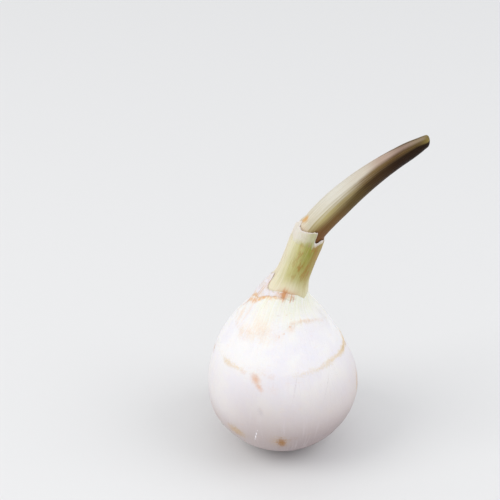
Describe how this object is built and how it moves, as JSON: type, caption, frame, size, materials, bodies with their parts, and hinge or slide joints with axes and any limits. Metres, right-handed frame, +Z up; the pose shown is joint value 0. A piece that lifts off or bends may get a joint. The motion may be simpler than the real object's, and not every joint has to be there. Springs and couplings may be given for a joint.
{
  "type": "kuwai tuber",
  "caption": "Sprouted kuwai tuber, a white pear-shaped arrowhead corm with ring scars, a pale green leaning stem, a torn papery sheath and a long curved closed bud.",
  "frame": {"origin": "centre of the small flat spot that the corm stands on", "axes": "+Z up through the corm, +X to the side that the sprout leans to, -Y towards the pictured front"},
  "size_m": [0.0694, 0.0494, 0.1168],
  "materials": {
    "corm_skin": "satin",
    "stem_skin": "satin",
    "bud_skin": "satin",
    "sheath_paper": "matte",
    "scale_paper": "matte"
  },
  "bodies": {
    "root": {"corm": "corm_skin", "sprout_stem": "stem_skin", "bud_spear": "bud_skin", "node_sheath": "sheath_paper", "crown_scale": "scale_paper"}
  },
  "joints": []
}
